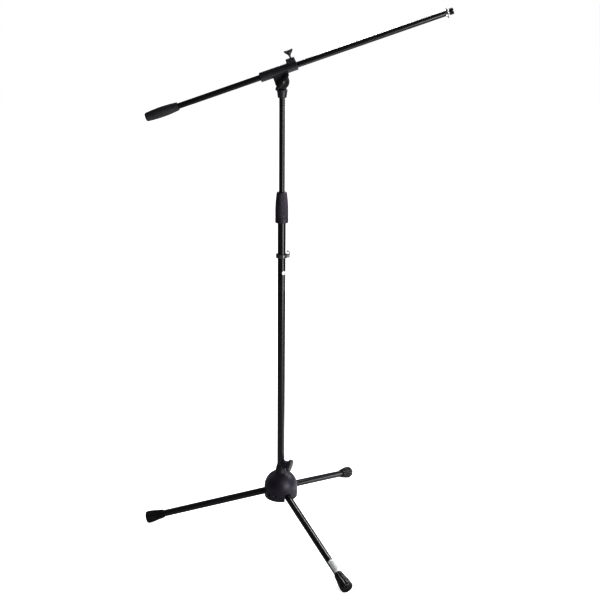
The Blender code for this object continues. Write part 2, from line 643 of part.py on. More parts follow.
def build():
    powder_black = material("powder_coated_tube", (0.012, 0.012, 0.014), 0.28, 0.35)
    dome_plastic = material("dome_plastic", (0.018, 0.018, 0.021), 0.5)
    grip_plastic = material("grip_plastic", (0.020, 0.020, 0.023), 0.62)
    knob_plastic = material("knob_plastic", (0.016, 0.016, 0.017), 0.42)
    clip_plastic = material("clip_plastic", (0.05, 0.052, 0.055), 0.3)
    cast_black = material("cast_black", (0.017, 0.016, 0.018), 0.5, 0.3)
    rubber = material("boot_rubber", (0.013, 0.013, 0.014), 0.55)
    grip_rubber = material("grip_rubber", (0.02, 0.02, 0.022), 0.8)
    nylon = material("nylon", (0.03, 0.03, 0.032), 0.5)
    steel = material("zinc_plated_steel", (0.55, 0.56, 0.58), 0.3, 1.0)
    brass = material("brass", (0.72, 0.55, 0.28), 0.35, 1.0)
    iron = material("cast_iron", (0.10, 0.10, 0.11), 0.6, 1.0)
    thread_black = material("blackened_thread", (0.02, 0.019, 0.02), 0.35, 0.6)
    paper = material("paper_label", (0.82, 0.82, 0.80), 0.7)

    stand = frame("stand", location=(MAST_X, MAST_Y, 0))
    legs = {side: leg_frame(side, stand) for side in LEG_AZIMUTH}
    hub_dome(stand, legs, dome_plastic)
    hub_bottom_cover(stand, dome_plastic)
    for number, azimuth in enumerate(LEG_AZIMUTH.values(), start=1):
        cover_screw(number, stand, azimuth, steel)
    for side, leg in legs.items():
        leg_pin(side, leg, steel)
        leg_knuckle(side, leg, cast_black)
        leg_tube(side, leg, powder_black)
        leg_foot(side, leg, stand, rubber)
    leg_label(legs["front"], paper)
    lock_knob(stand, knob_plastic, steel)

    lower_mast(stand, powder_black, nylon)
    clutch(stand, grip_plastic, nylon)
    cable_clip(stand, clip_plastic)
    guide_bush(stand, nylon)
    upper = ring(
        "upper_tube", UPPER_R, UPPER_R - UPPER_WALL, UPPER_BOTTOM_Z, UPPER_TOP_Z, powder_black
    )
    place(upper, stand)

    pivot = frame("head_pivot", stand, (0, 0, PIVOT_Z))
    top_socket(pivot, cast_black)
    pivot_hardware(pivot, steel, nylon, knob_plastic)
    boom = frame("boom_frame", pivot, rotation=(0, -BOOM_TILT, 0))
    boom_clamp(boom, cast_black)
    clamp_screw(boom, knob_plastic, steel, brass)
    boom_pieces(boom, powder_black, nylon, grip_rubber, iron, steel, thread_black)


build()
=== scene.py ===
"""Looks of a boom microphone stand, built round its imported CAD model.

Shapes below are in millimetres in a frame of their own, whose Z is the axis that the piece
is turned about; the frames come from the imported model's joints, in metres.
"""

import json
from math import asin, cos, degrees, hypot, pi, radians, sin

import bmesh
import bpy
from mathutils import Matrix, Vector


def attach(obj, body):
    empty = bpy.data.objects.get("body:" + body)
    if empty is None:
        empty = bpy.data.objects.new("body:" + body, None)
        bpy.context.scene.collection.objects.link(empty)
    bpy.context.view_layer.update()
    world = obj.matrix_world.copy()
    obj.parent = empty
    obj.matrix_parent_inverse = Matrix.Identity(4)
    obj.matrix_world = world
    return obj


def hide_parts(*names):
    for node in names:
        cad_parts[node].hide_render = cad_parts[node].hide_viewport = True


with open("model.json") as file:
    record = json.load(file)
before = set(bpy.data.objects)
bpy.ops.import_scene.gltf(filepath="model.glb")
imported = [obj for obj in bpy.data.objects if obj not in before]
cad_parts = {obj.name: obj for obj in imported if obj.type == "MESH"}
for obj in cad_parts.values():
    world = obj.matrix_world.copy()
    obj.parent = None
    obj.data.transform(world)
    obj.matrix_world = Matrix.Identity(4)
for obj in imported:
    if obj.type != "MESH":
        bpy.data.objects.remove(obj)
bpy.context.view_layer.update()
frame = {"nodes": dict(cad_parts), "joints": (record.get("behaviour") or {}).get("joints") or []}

MM = 0.001
CLEARANCE = 0.3                # between pieces that touch
TUBE_WALL = 1.2
LEG_SLOT_R = 9.7               # half the width of a leg's slot in the hub
LOCK_SCREW_R, CLAMP_SCREW_R, BOLT_R = 3.0, 2.5, 3.0
SLEEVE_R = 11.75               # the boom clamp's sleeve
EAR_R, EAR_INNER, EAR_OUTER = 17.8, 5.6, 9.9
TONGUE_R, TONGUE_HALF = 13.2, 4.0
SIDES = ("left", "front", "rear")
JOINTS = {joint["name"]: joint for joint in frame["joints"]}
UP = Vector((0, 0, 1))


# ---------------------------------------------------------------- frames

def turned_frame(origin, along, side):
    """Frame with Z along a turning axis and X on the given side of it."""
    z = Vector(along).normalized()
    y = z.cross(Vector(side)).normalized()
    rotation = Matrix((y.cross(z), y, z)).transposed().to_4x4()
    return Matrix.Translation(Vector(origin)) @ rotation


def joint_frame(name, side, sign=1):
    joint = JOINTS[name]
    return turned_frame(joint["pos_m"], sign * Vector(joint["axis"]), side)


def centroid(node):
    points = [vertex.co for vertex in frame["nodes"][node].data.vertices]
    return sum(points, Vector()) / len(points)


def leg_frame(side):
    """Frame on a leg's hinge pin, Z out along the leg and X upwards."""
    pin = Vector(JOINTS[f"leg_fold_{side}"]["pos_m"])
    return turned_frame(pin, centroid(f"leg_tube_{side}") - pin, UP)


def span(node, axis_frame):
    """Lowest and highest place and greatest radius of a node along and about a frame's Z."""
    inverse = axis_frame.inverted()
    points = [inverse @ v.co / MM for v in frame["nodes"][node].data.vertices]
    heights = [p.z for p in points]
    return min(heights), max(heights), max(hypot(p.x, p.y) for p in points)


PIVOT = Vector(JOINTS["boom_tilt"]["pos_m"])
MAST = turned_frame((PIVOT.x, PIVOT.y, 0), UP, (1, 0, 0))
LEG = {side: leg_frame(side) for side in SIDES}
LOCK = joint_frame("lock_turn", UP)
HEAD = turned_frame(PIVOT, (0, -1, 0), (1, 0, 0))
BOOM = joint_frame("boom_roll", UP)
CLAMP_SCREW = joint_frame("clamp_screw_turn", JOINTS["boom_roll"]["axis"])
BOOM_RISE = (BOOM.translation - PIVOT).length / MM        # pivot to boom axis


# ---------------------------------------------------------------- shapes

def new_object(name, bm, place, mat, smooth_angle=32):
    bmesh.ops.recalc_face_normals(bm, faces=bm.faces)
    mesh = bpy.data.meshes.new(name)
    bm.to_mesh(mesh)
    bm.free()
    if mat:
        mesh.materials.append(mat)
    mesh.shade_smooth()
    mesh.set_sharp_from_angle(angle=radians(smooth_angle))
    obj = bpy.data.objects.new(name, mesh)
    bpy.context.scene.collection.objects.link(obj)
    obj.matrix_world = place
    return obj


def eased(profile, radius, count=3):
    """A closed profile with the corners that lie off the axis rounded."""
    points = [Vector(point) for point in profile]
    made = []
    for before, point, after in zip(points[-1:] + points, points, points[1:] + points[:1]):
        back, ahead = before - point, after - point
        if point.x < 1e-6 or back.angle(ahead) > radians(162):
            made.append(tuple(point))
            continue
        reach = min(radius, 0.45 * back.length, 0.45 * ahead.length)
        start, end = point + back.normalized() * reach, point + ahead.normalized() * reach
        for i in range(count + 1):
            t = i / count
            made.append(tuple(start * (1 - t) ** 2 + point * 2 * t * (1 - t) + end * t ** 2))
    return made


def solid_rod(radius, start, end):
    """Profile of a cylinder for lathe()."""
    return [(0, start), (radius, start), (radius, end), (0, end)]


def pipe(radius, wall, start, end):
    """Profile of a pipe with eased rims for lathe()."""
    profile = [(radius, end), (radius, start), (radius - wall, start), (radius - wall, end)]
    return eased(profile, 0.4)


def refined(outline, parts=4):
    """An open outline with each stretch split into equal parts, its last point left out."""
    points = []
    for (r0, z0), (r1, z1) in zip(outline, outline[1:]):
        points += [(r0 + (r1 - r0) * i / parts, z0 + (z1 - z0) * i / parts) for i in range(parts)]
    return points


def lathe(name, profile, place, mat, steps=96, shape=None):
    """A closed profile of (radius, height) spun about Z; shape may vary the radius."""
    bm = bmesh.new()
    rings = []
    for radius, height in profile:
        if radius < 1e-6:
            rings.append([bm.verts.new((0, 0, height * MM))])
            continue
        ring = []
        for i in range(steps):
            angle = 2 * pi * i / steps
            r = shape(angle, radius, height) if shape else radius
            ring.append(bm.verts.new((r * cos(angle) * MM, r * sin(angle) * MM, height * MM)))
        rings.append(ring)
    for first, second in zip(rings, rings[1:] + rings[:1]):
        for i in range(steps):
            corners = [first[i % len(first)], first[(i + 1) % steps % len(first)]]
            corners += [second[(i + 1) % steps % len(second)], second[i % len(second)]]
            corners = list(dict.fromkeys(corners))
            if len(corners) > 2:
                bm.faces.new(corners)
    return new_object(name, bm, place, mat)


def prism(name, outline, low, high, place, mat=None, bevel=0.0):
    """An outline of (x, y) points extruded from low to high along Z."""
    bm = bmesh.new()
    floor_ring = [bm.verts.new((x * MM, y * MM, low * MM)) for x, y in outline]
    top_ring = [bm.verts.new((x * MM, y * MM, high * MM)) for x, y in outline]
    bm.faces.new(floor_ring)
    bm.faces.new(top_ring)
    count = len(outline)
    for i in range(count):
        j = (i + 1) % count
        bm.faces.new((floor_ring[i], floor_ring[j], top_ring[j], top_ring[i]))
    bmesh.ops.recalc_face_normals(bm, faces=bm.faces)
    if bevel:
        edges = [e for e in bm.edges if e.calc_face_angle() > radians(30)]
        bmesh.ops.bevel(bm, geom=edges, offset=bevel * MM, segments=2, affect="EDGES",
                        profile=0.5, clamp_overlap=True)
    return new_object(name, bm, place, mat)


def arc(centre, radius, start, end, count):
    angles = [radians(start + (end - start) * i / (count - 1)) for i in range(count)]
    return [(centre[0] + radius * cos(a), centre[1] + radius * sin(a)) for a in angles]


def wing_outline(waist, reach, sharpness, lean, count=120):
    """Two rounded wings either side of a hub, turned by lean degrees."""
    points = []
    for i in range(count):
        angle = 2 * pi * i / count
        radius = waist + reach * cos(angle) ** sharpness
        turned = angle + radians(lean)
        points.append((radius * cos(turned), radius * sin(turned)))
    return points


def applied(obj):
    """Replaces an object's mesh by the result of its modifiers."""
    graph = bpy.context.evaluated_depsgraph_get()
    mesh = bpy.data.meshes.new_from_object(obj.evaluated_get(graph))
    obj.modifiers.clear()
    obj.data = mesh
    return obj


def combine(obj, others, operation):
    """Joins or cuts with other objects, which are used up."""
    for other in others:
        boolean = obj.modifiers.new("boolean", "BOOLEAN")
        boolean.operation = operation
        boolean.solver = "EXACT"
        boolean.object = other
    applied(obj)
    for other in others:
        bpy.data.objects.remove(other, do_unlink=True)
    return obj


def shaded(obj, angle=32):
    obj.data.shade_smooth()
    obj.data.set_sharp_from_angle(angle=radians(angle))
    return obj


def moulded(obj, voxel, smoothing):
    """Softens every edge, as a casting or a moulding has them."""
    remesh = obj.modifiers.new("remesh", "REMESH")
    remesh.mode = "VOXEL"
    remesh.voxel_size = voxel * MM
    smooth = obj.modifiers.new("smooth", "SMOOTH")
    smooth.factor = 0.5
    smooth.iterations = smoothing
    applied(obj)
    obj.data.shade_smooth()
    return obj


def patch(name, place, mat, radius, thickness, heights, angles, steps):
    """A thin sheet wrapped on a cylinder, angles in degrees from the frame's X."""
    bm = bmesh.new()
    columns = []
    for i in range(steps + 1):
        angle = radians(angles[0] + (angles[1] - angles[0]) * i / steps)
        column = []
        for r, z in ((radius, heights[0]), (radius + thickness, heights[0]),
                     (radius + thickness, heights[1]), (radius, heights[1])):
            column.append(bm.verts.new((r * cos(angle) * MM, r * sin(angle) * MM, z * MM)))
        columns.append(column)
    for first, second in zip(columns, columns[1:]):
        for i in range(4):
            j = (i + 1) % 4
            bm.faces.new((first[i], first[j], second[j], second[i]))
    bm.faces.new(columns[0])
    bm.faces.new(columns[-1])
    return new_object(name, bm, place, mat)


def joined(name, objects):
    """Several loose shapes made one piece."""
    bm = bmesh.new()
    for obj in objects:
        bm.from_mesh(obj.data)
    mat = objects[0].data.materials[0]
    place = objects[0].matrix_world.copy()
    for obj in objects:
        bpy.data.objects.remove(obj, do_unlink=True)
    return new_object(name, bm, place, mat)


def vee_thread(pitch, depth, crest, start, end):
    """A screw thread for lathe(), on the radii close to the crest."""
    def shape(angle, radius, height):
        if radius < crest - 0.2 or not start < height < end:
            return radius
        phase = (height / pitch - angle / (2 * pi)) % 1
        return radius - depth * abs(2 * phase - 1)
    return shape


def threaded_run(radius, start, end, pitch):
    """Profile points close enough together along a thread."""
    count = max(2, int(abs(end - start) / pitch * 6))
    return [(radius, start + (end - start) * i / count) for i in range(count + 1)]


def screw(name, node, place, mat, depth):
    """A screw of 1 mm pitch in place of a plain CAD rod."""
    start, end, radius = span(node, place)
    profile = [(0, start)] + threaded_run(radius, start, end, 1.0) + [(0, end)]
    return lathe(name, profile, place, mat, 48, vee_thread(1.0, depth, radius, start, end))


def drilled(obj, place, radius, start, end, steps=32):
    """Bores a round hole."""
    drill = lathe("hole", solid_rod(radius + CLEARANCE, start, end), place, None, steps)
    return combine(obj, [drill], "DIFFERENCE")


def show(obj, body, slot, *nodes):
    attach(obj, body)
    if nodes:
        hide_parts(*nodes)
    return obj


# ---------------------------------------------------------------- materials

class Nodes:
    """A Principled material and short ways to vary it."""

    def __init__(self, name, colour, roughness, metallic=0.0, **sockets):
        self.mat = bpy.data.materials.new(name)
        self.mat.use_nodes = True
        self.tree = self.mat.node_tree
        self.shader = self.tree.nodes["Principled BSDF"]
        self.coords = self.add("ShaderNodeTexCoord").outputs["Object"]
        self.colour = (*colour, 1.0)
        self.shader.inputs["Base Color"].default_value = self.colour
        self.shader.inputs["Roughness"].default_value = roughness
        self.shader.inputs["Metallic"].default_value = metallic
        for socket, value in sockets.items():
            self.shader.inputs[socket.replace("_", " ")].default_value = value
        self.normal = None

    def add(self, kind, **values):
        node = self.tree.nodes.new(kind)
        for name, value in values.items():
            setattr(node, name, value)
        return node

    def link(self, output, target):
        self.tree.links.new(output, target)

    def noise(self, size, detail=3.0, stretch=(1, 1, 1)):
        """Noise whose features are about size millimetres across."""
        mapping = self.add("ShaderNodeMapping")
        mapping.inputs["Scale"].default_value = stretch
        self.link(self.coords, mapping.inputs["Vector"])
        noise = self.add("ShaderNodeTexNoise")
        noise.inputs["Scale"].default_value = 1 / (size * MM)
        noise.inputs["Detail"].default_value = detail
        self.link(mapping.outputs["Vector"], noise.inputs["Vector"])
        return noise.outputs["Fac"]

    def cells(self, size, feature="F1"):
        cells = self.add("ShaderNodeTexVoronoi", feature=feature)
        cells.inputs["Scale"].default_value = 1 / (size * MM)
        self.link(self.coords, cells.inputs["Vector"])
        return cells.outputs["Distance"]

    def ranged(self, value, low, high, start=0.3, end=0.7):
        ranged = self.add("ShaderNodeMapRange")
        for name, number in (("From Min", start), ("From Max", end),
                             ("To Min", low), ("To Max", high)):
            ranged.inputs[name].default_value = number
        self.link(value, ranged.inputs["Value"])
        return ranged.outputs["Result"]

    def rough(self, value, low, high):
        self.link(self.ranged(value, low, high), self.shader.inputs["Roughness"])
        return self

    def tint(self, value, other, start=0.35, end=0.7):
        """Mixes the base colour with another where a value is high."""
        mix = self.add("ShaderNodeMix", data_type="RGBA")
        mix.inputs["A"].default_value = self.colour
        mix.inputs["B"].default_value = (*other, 1.0)
        current = self.shader.inputs["Base Color"]
        if current.is_linked:
            self.link(current.links[0].from_socket, mix.inputs["A"])
        self.link(self.ranged(value, 0.0, 1.0, start, end), mix.inputs["Factor"])
        self.link(mix.outputs["Result"], current)
        return self

    def bump(self, value, depth, strength=1.0):
        """Relief of a depth in millimetres."""
        bump = self.add("ShaderNodeBump")
        bump.inputs["Strength"].default_value = strength
        bump.inputs["Distance"].default_value = depth * MM
        self.link(value, bump.inputs["Height"])
        if self.normal:
            self.link(self.normal, bump.inputs["Normal"])
        self.normal = bump.outputs["Normal"]
        self.link(self.normal, self.shader.inputs["Normal"])
        return self

    def worn_edges(self, colour, start=0.53, end=0.58):
        """Lighter where the surface is sharply convex."""
        geometry = self.add("ShaderNodeNewGeometry")
        return self.tint(geometry.outputs["Pointiness"], colour, start, end)


def powder_coat(name):
    made = Nodes(name, (0.0100, 0.0094, 0.0112), 0.24)
    made.rough(made.noise(22, 4), 0.20, 0.29)
    made.tint(made.noise(35, 3), (0.0150, 0.0142, 0.0168))
    made.bump(made.noise(0.9, 2), 0.006, 0.6)
    return made.mat


def moulded_plastic(name, colour, roughness, grain=0.55, depth=0.05):
    made = Nodes(name, colour, roughness)
    lighter = [1.7 * value for value in colour]
    made.rough(made.noise(9, 4), roughness - 0.06, roughness + 0.08)
    made.tint(made.noise(16, 4), lighter)
    made.bump(made.cells(grain), depth, 0.8)
    made.bump(made.noise(0.25, 2), depth * 0.5, 0.6)
    return made.mat


def cast_paint(name):
    made = Nodes(name, (0.018, 0.0160, 0.0195), 0.4, Coat_Weight=0.15, Coat_Roughness=0.3)
    made.rough(made.noise(5, 4), 0.34, 0.5)
    made.tint(made.noise(8, 3), (0.030, 0.027, 0.032))
    made.worn_edges((0.10, 0.10, 0.103))
    made.bump(made.noise(1.6, 3), 0.10, 0.7)
    made.bump(made.noise(0.4, 2), 0.03, 0.5)
    return made.mat


def boot_rubber():
    made = Nodes("boot_rubber", (0.006, 0.006, 0.007), 0.15)
    made.rough(made.noise(4, 4), 0.11, 0.20)
    made.tint(made.noise(7, 4), (0.014, 0.014, 0.015))
    made.bump(made.noise(0.6, 3), 0.02, 0.6)
    return made.mat


def grip_rubber():
    made = Nodes("grip_rubber", (0.026, 0.025, 0.028), 0.62, Sheen_Weight=0.06)
    made.rough(made.noise(3, 4), 0.52, 0.72)
    made.tint(made.noise(6, 4), (0.048, 0.046, 0.051))
    made.bump(made.cells(0.5), 0.08, 0.8)
    return made.mat


def plated_steel(name, colour=(0.56, 0.56, 0.57), roughness=0.28):
    made = Nodes(name, colour, roughness, 1.0)
    made.rough(made.noise(1.2, 3, (1, 1, 0.1)), roughness - 0.08, roughness + 0.14)
    made.tint(made.noise(5, 4), [0.7 * value for value in colour], 0.5, 0.8)
    made.bump(made.noise(0.3, 2), 0.01, 0.5)
    return made.mat


def nylon():
    made = Nodes("nylon", (0.040, 0.040, 0.043), 0.45, Subsurface_Weight=0.02)
    made.rough(made.noise(4, 3), 0.38, 0.55)
    made.bump(made.noise(0.5, 2), 0.02, 0.5)
    return made.mat


def clip_plastic(name, colour):
    made = Nodes(name, colour, 0.22, Coat_Weight=0.3)
    made.rough(made.noise(5, 3), 0.17, 0.32)
    made.bump(made.noise(0.8, 2), 0.015, 0.5)
    return made.mat


def cast_iron():
    made = Nodes("cast_iron", (0.10, 0.10, 0.11), 0.6, 0.9)
    made.rough(made.noise(3, 4), 0.5, 0.75)
    made.bump(made.noise(0.9, 4), 0.12, 0.9)
    return made.mat


def black_thread():
    made = Nodes("black_thread", (0.024, 0.024, 0.026), 0.3, 0.5)
    made.rough(made.noise(1.5, 3), 0.24, 0.4)
    made.worn_edges((0.16, 0.16, 0.165), 0.52, 0.6)
    return made.mat


def label_paper():
    made = Nodes("label_paper", (0.60, 0.60, 0.60), 0.55)
    made.rough(made.noise(6, 3), 0.45, 0.65)
    made.tint(made.noise(11, 4), (0.54, 0.54, 0.54))
    made.bump(made.noise(0.35, 3), 0.012, 0.5)
    return made.mat


def print_ink(name, colour):
    made = Nodes(name, colour, 0.5)
    made.tint(made.noise(1.2, 3), [0.75 * value for value in colour])
    return made.mat


POWDER = powder_coat("powder_coat")
DOME = moulded_plastic("dome_plastic", (0.0155, 0.0125, 0.0215), 0.46)
GRIP = moulded_plastic("grip_plastic", (0.0260, 0.0205, 0.0320), 0.55, 0.4)
KNOB = moulded_plastic("knob_plastic", (0.036, 0.039, 0.037), 0.4)
GLOSS = moulded_plastic("gloss_plastic", (0.012, 0.012, 0.013), 0.2, 0.6, 0.02)
CAST = cast_paint("cast_paint")
BOOT = boot_rubber()
WEIGHT = grip_rubber()
STEEL = plated_steel("zinc_plate")
CHROME = plated_steel("bright_plate", (0.72, 0.71, 0.70), 0.16)
RING_STEEL = plated_steel("ring_plate", (0.60, 0.59, 0.58), 0.3)
DARK_STEEL = plated_steel("dark_steel", (0.16, 0.16, 0.17), 0.38)
BRASS = plated_steel("brass", (0.72, 0.52, 0.25), 0.32)
NYLON = nylon()
CLIP = clip_plastic("clip_plastic", (0.060, 0.062, 0.065))
# The hook is the clip's dark plastic painted light grey: a painted highlight.
HOOK_PAINTED_HIGHLIGHT = clip_plastic("hook_painted_highlight", (0.30, 0.30, 0.31))
IRON = cast_iron()
THREAD = black_thread()
PAPER = label_paper()
INK = print_ink("grey_ink", (0.10, 0.10, 0.105))
PALE_INK = print_ink("pale_ink", (0.62, 0.62, 0.62))
DIM_INK = print_ink("dim_ink", (0.09, 0.09, 0.095))


# ---------------------------------------------------------------- tripod

def hub_dome():
    """Dome with the mast's collar and the lock boss, cut by the legs' slots."""
    bottom, _, dome_r = span("hub_dome", MAST)
    bore = 10.3
    centre, collar_top, collar_foot_r, rim = 126.0, 189.5, 15.6, 5.0
    dome_top = degrees(asin(collar_foot_r / dome_r))
    outside = [(bore, collar_top), (11.4, collar_top), (13.0, 181.5), (14.6, 174.5)]
    outside += arc((0, centre), dome_r, 90 - dome_top, 0, 28)
    outside += arc((dome_r - rim, bottom + rim), rim, 0, -88, 8)
    lid_r, lid_top = 38.4, bottom + 5.6
    plug_room_r, plug_room_top = 15.0, 158
    inside = [(lid_r, bottom), (lid_r, lid_top), (plug_room_r, lid_top),
              (plug_room_r, plug_room_top), (bore, plug_room_top)]
    hub = lathe("hub_shell", eased(outside + inside, 0.8), MAST, DOME, 128)
    boss = lathe("boss", eased(solid_rod(10.0, 5, 22.5), 1.0), LOCK, DOME, 64)
    combine(hub, [boss], "UNION")
    cutters = [
        lathe("bore", solid_rod(bore, 150, 215), MAST, None, 96),
        lathe("hole", solid_rod(LOCK_SCREW_R + CLEARANCE, 4, 30), LOCK, None, 32),
    ]
    for side in SIDES:
        arch = [(-60, -LEG_SLOT_R)] + arc((0, 0), LEG_SLOT_R, -90, 90, 33) + [(-60, LEG_SLOT_R)]
        cutters.append(prism("slot", arch, -17, 29, LEG[side]))
        pin = LEG[side].translation
        outwards = Vector((pin.x - PIVOT.x, pin.y - PIVOT.y, 0))
        upright = turned_frame(MAST.translation, UP, outwards)
        lever_room = [(6, -5.4), (33.6, -5.4), (33.6, 5.4), (6, 5.4)]
        cutters.append(prism("lever_room", lever_room, 109.9, 138.4, upright))
        pin_groove = [(26.8, -16), (33.2, -16), (33.2, 16), (26.8, 16)]
        cutters.append(prism("pin_groove", pin_groove, bottom - 5, 117.2, upright))
        for sign in (-1, 1):
            along_pin = joint_frame(f"leg_fold_{side}", UP, sign)
            cutters.append(lathe("pin_hole", solid_rod(3.4, 30.5, 45), along_pin, None, 32))
    combine(hub, cutters, "DIFFERENCE")
    show(shaded(hub), "hub", "dome", "hub_dome")


def leg_tubes():
    for side in SIDES:
        start, end, radius = span(f"leg_tube_{side}", LEG[side])
        tube = lathe(f"leg_tube_skin_{side}", pipe(radius, TUBE_WALL, start, end), LEG[side],
                     POWDER, 64)
        show(tube, f"leg_{side}", "leg_tubes", f"leg_tube_{side}")


def boot_ribs(start, end):
    """Ten rounded ridges that fade out towards both ends of the boot."""
    def shape(angle, radius, height):
        if radius < 11 or height > end - 0.5:
            return radius
        share = min(max((height - start) / (end - start), 0), 1)
        fade = sin(pi * min(1, share * 1.25 + 0.1)) ** 0.6 if share < 0.72 else 1.0
        ridge = abs(cos(5 * angle)) ** 0.75
        return radius - 2.1 * fade * (1 - ridge)
    return shape


def leg_boots():
    for side in SIDES:
        start, end, _ = span(f"leg_foot_{side}", LEG[side])
        _, tube_end, tube_r = span(f"leg_tube_{side}", LEG[side])
        outline = [
            (11.2, start), (11.9, start + 3.2), (13.4, end - 34), (14.8, end - 26),
            (15.9, end - 18), (16.6, end - 10), (16.75, end - 5), (15.9, end - 1.6), (13.6, end),
        ]
        face = [(13.6, end), (11.2, end), (10.9, end - 0.7), (9.6, end - 0.7), (9.3, end - 0.1)]
        face += [(7.0, end - 0.1), (6.7, end - 0.8), (5.2, end - 0.8), (4.9, end - 0.2)]
        face += [(0, end - 0.2)]
        bottom, socket_r = tube_end + CLEARANCE, tube_r + CLEARANCE
        socket = [(0, bottom), (socket_r, bottom), (socket_r, start)]
        boot = lathe(f"boot_{side}", refined(outline) + face + socket, LEG[side], BOOT, 120,
                     boot_ribs(start, end))
        for vertex in boot.data.vertices:          # flat where the boot stands on the floor
            point = LEG[side] @ vertex.co
            if point.z < 0:
                point.z = 0
                vertex.co = LEG[side].inverted() @ point
        show(boot, f"leg_{side}", "boots", f"leg_foot_{side}")


def leg_label():
    """Printed label wrapped most of the way round the front leg."""
    start, end, radius = span("leg_label", LEG["front"])
    inner, paper = radius - 0.25, 0.12
    label = patch("leg_label_sheet", LEG["front"], PAPER, inner, paper, (start, end),
                  (-175, 70), 72)
    show(label, "leg_front", "label", "leg_label")
    bars = []
    first_row, row_step, row_width, word_gap = -48, 15, 9, 1.5
    for row in range(6):
        angles = (first_row + row_step * row, first_row + row_step * row + row_width)
        z = start + 4.5
        word = 0
        while z < end - 7:
            length = 2.2 + 1.3 * ((row * 5 + word * 3) % 4)
            heights = (z, min(z + length, end - 3))
            bars.append(patch("bar", LEG["front"], INK, inner + 0.1, 0.05, heights, angles, 4))
            z += length + word_gap
            word += 1
    show(joined("leg_label_print", bars), "leg_front", "label")


def leg_print():
    """Short strip of plain bars near the left leg's boot."""
    boot_start = span("leg_foot_left", LEG["left"])[0]
    bars = []
    for i in range(6):
        z = boot_start - 52 + 7 * i
        bars.append(patch("bar", LEG["left"], PALE_INK, 8.97, 0.06, (z, z + 4.6), (42, 58), 4))
    show(joined("leg_print_bars", bars), "leg_left", "label")


def lock_knob():
    start, end, _ = span("lock_knob", LOCK)
    inverse = LOCK.inverted()
    tips = [inverse @ v.co / MM for v in frame["nodes"]["lock_knob"].data.vertices]
    tip = max(tips, key=lambda p: hypot(p.x, p.y))
    lean = degrees(Vector((tip.x, tip.y)).angle_signed(Vector((1, 0))))
    wings = prism("lock_knob_body", wing_outline(7.6, 9.2, 2, lean), start, end, LOCK, KNOB, 3.0)
    hub = lathe("hub", eased(solid_rod(6.8, start, end + 0.6), 1.2), LOCK, None, 64)
    combine(wings, [hub], "UNION")
    screw_end = span("lock_screw", LOCK)[1]
    drilled(wings, LOCK, LOCK_SCREW_R, start - 3, screw_end + CLEARANCE)
    show(moulded(wings, 0.45, 3), "lock_knob", "lock_knob", "lock_knob")
    thread = screw("lock_screw_thread", "lock_screw", LOCK, STEEL, 0.5)
    show(thread, "lock_knob", "screws", "lock_screw")


# ---------------------------------------------------------------- mast

def lower_mast():
    start, end, radius = span("lower_tube", MAST)
    profile = [(radius, end), (radius, start), (radius - 1.5, start), (radius - 1.5, end)]
    tube = lathe("lower_tube_skin", eased(profile, 0.5), MAST, POWDER, 96)
    show(tube, "mast", "mast_tubes", "lower_tube")


def mast_print():
    """Plain round mark and a strip of bars on the lower tube."""
    tube_r, facing = 9.98, -54.0
    mark_z, mark_r, rows, steps = 739.5, 5.6, 6, 40
    bm = bmesh.new()

    def disc(lift):
        """One face of the mark, bent round the tube; gives its outer ring back."""
        radius = tube_r + lift
        rings = []
        for row in range(rows + 1):
            ring = []
            for i in range(steps if row else 1):
                angle = 2 * pi * i / steps
                turn = radians(facing) + mark_r * row / rows * cos(angle) / tube_r
                z = mark_z + mark_r * row / rows * sin(angle)
                point = Vector((radius * cos(turn), radius * sin(turn), z))
                ring.append(bm.verts.new(point * MM))
            rings.append(ring)
        for first, second in zip(rings, rings[1:]):
            for i in range(steps):
                corners = [first[i % len(first)], first[(i + 1) % steps % len(first)]]
                corners += [second[(i + 1) % steps], second[i]]
                bm.faces.new(list(dict.fromkeys(corners)))
        return rings[-1]

    inner, outer = disc(0.0), disc(0.07)
    for i in range(steps):
        j = (i + 1) % steps
        bm.faces.new((inner[i], inner[j], outer[j], outer[i]))
    mark = new_object("mast_mark", bm, MAST, PALE_INK)
    show(mark, "mast", "mast_tubes")
    bars = []
    z, reach, gap = 691.0, 22, 0.7
    for i in range(12):
        length = 2.4 + 0.9 * (i % 3)
        bars.append(patch("bar", MAST, DIM_INK, tube_r, 0.06, (z, z + length),
                          (facing - reach, facing + reach), 8))
        z += length + gap
    show(joined("mast_print_bars", bars), "mast", "mast_tubes")


def grip_ribs(start, end, count, depth):
    """Fine lengthwise grooves that fade towards both ends of the grip."""
    def shape(angle, radius, height):
        if radius < 12.6 or not start < height < end:
            return radius
        fade = min(1, (height - start) / 2.5, (end - height) / 4)
        return radius - depth * fade * (0.5 - 0.5 * cos(count * angle)) ** 2
    return shape


def clutch():
    low, high, _ = span("clutch_grip", MAST)
    bore = 7.4
    outline = [(16.1, low), (16.4, low + 1), (16.4, 905), (16.0, 918), (15.2, 930), (13.9, 942),
               (13.1, high - 1.4), (12.3, high)]
    inside = [(12.3, high), (bore, high), (bore, 947), (9.5, 947), (9.5, 940.3), (12.9, 918.2),
              (12.9, low)]
    grip = lathe("clutch_grip_ribbed", refined(outline) + inside, MAST, GRIP, 216,
                 grip_ribs(low + 1, high - 2, 36, 0.45))
    show(grip, "clutch_grip", "clutch_grip", "clutch_grip")
    low, high, _ = span("clutch_base_ring", MAST)
    profile = [(10.3, high), (16.5, high), (16.6, low + 2), (15.8, low), (10.3, low)]
    base = lathe("clutch_band", eased(profile, 0.6), MAST, GRIP, 96)
    show(base, "mast", "clutch_ring", "clutch_base_ring")


